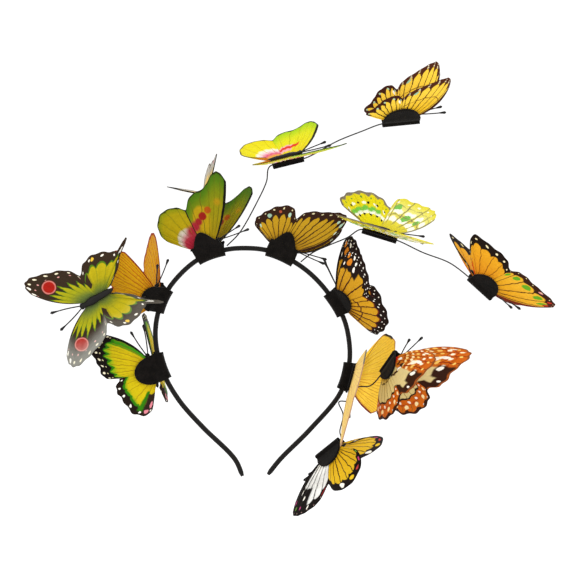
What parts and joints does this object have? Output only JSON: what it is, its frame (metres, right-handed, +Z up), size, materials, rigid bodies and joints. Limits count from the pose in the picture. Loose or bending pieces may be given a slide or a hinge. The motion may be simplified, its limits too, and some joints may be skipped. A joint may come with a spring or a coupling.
{
  "type": "butterfly headband",
  "caption": "Slim black spring headband set with printed film butterflies on felt pads, some seated on the band and some standing off it on thin black wires.",
  "frame": {"origin": "inside face of the band at its crown, where it sits on the head", "axes": "+X to the right as seen from the front, -Y to the front, +Z up"},
  "size_m": [0.347, 0.1057, 0.3066],
  "materials": {
    "band_fabric": "matte woven cover",
    "felt": "matte felt",
    "body_black": "satin",
    "wire_black": "satin",
    "spread_film": "satin printed film: swallowtail print, olive yellow and dark brown",
    "amber_film": "satin printed film: amber print with fine veins",
    "temple_film": "satin printed film: yellow print with green rim and black border",
    "leaf_film": "satin printed film: green and olive print with a crimson stripe",
    "rear_film": "satin printed film: cream print",
    "lemon_film": "satin printed film: lemon print with a red and white stripe",
    "tip_tiger_film": "satin printed film: yellow cells between dark veins",
    "crown_tiger_film": "satin printed film: amber cells between dark veins",
    "monarch_film": "satin printed film: amber print with dark veins and white dots",
    "lime_film": "satin printed film: bright yellow print with white and green patches",
    "tip_orange_film": "satin printed film: orange print with a dark border",
    "plain_film": "satin printed film: golden yellow print",
    "checkered_film": "satin printed film: orange print with white and brown checks",
    "clearwing_film": "satin printed film: clear film with black veins and yellow hindwings"
  },
  "bodies": {
    "root": {"band": "band_fabric", "spread_right_wing": "spread_film", "spread_left_wing": "spread_film", "spread_body": "body_black", "amber_right_wing": "amber_film", "amber_left_wing": "amber_film", "amber_body": "body_black", "amber_pad": "felt", "temple_right_wing": "temple_film", "temple_left_wing": "temple_film", "temple_body": "body_black", "temple_pad": "felt", "leaf_right_wing": "leaf_film", "leaf_left_wing": "leaf_film", "leaf_body": "body_black", "leaf_pad": "felt", "rear_right_wing": "rear_film", "rear_left_wing": "rear_film", "rear_body": "body_black", "lemon_right_wing": "lemon_film", "lemon_left_wing": "lemon_film", "lemon_body": "body_black", "lemon_pad": "felt", "tip_tiger_right_wing": "tip_tiger_film", "tip_tiger_left_wing": "tip_tiger_film", "tip_tiger_body": "body_black", "tip_tiger_pad": "felt", "crown_tiger_right_wing": "crown_tiger_film", "crown_tiger_left_wing": "crown_tiger_film", "crown_tiger_body": "body_black", "crown_tiger_pad": "felt", "monarch_right_wing": "monarch_film", "monarch_left_wing": "monarch_film", "monarch_body": "body_black", "monarch_pad": "felt", "lime_right_wing": "lime_film", "lime_left_wing": "lime_film", "lime_body": "body_black", "lime_pad": "felt", "tip_orange_right_wing": "tip_orange_film", "tip_orange_left_wing": "tip_orange_film", "tip_orange_body": "body_black", "tip_orange_pad": "felt", "plain_right_wing": "plain_film", "plain_left_wing": "plain_film", "plain_body": "body_black", "plain_pad": "felt", "checkered_right_wing": "checkered_film", "checkered_left_wing": "checkered_film", "checkered_body": "body_black", "checkered_pad": "felt", "clearwing_right_wing": "clearwing_film", "clearwing_left_wing": "clearwing_film", "clearwing_body": "body_black", "clearwing_pad": "felt", "high_wire": "wire_black", "side_wire": "wire_black", "drop_wire": "wire_black", "spread_stem": "wire_black", "rear_stem": "wire_black"}
  },
  "joints": []
}
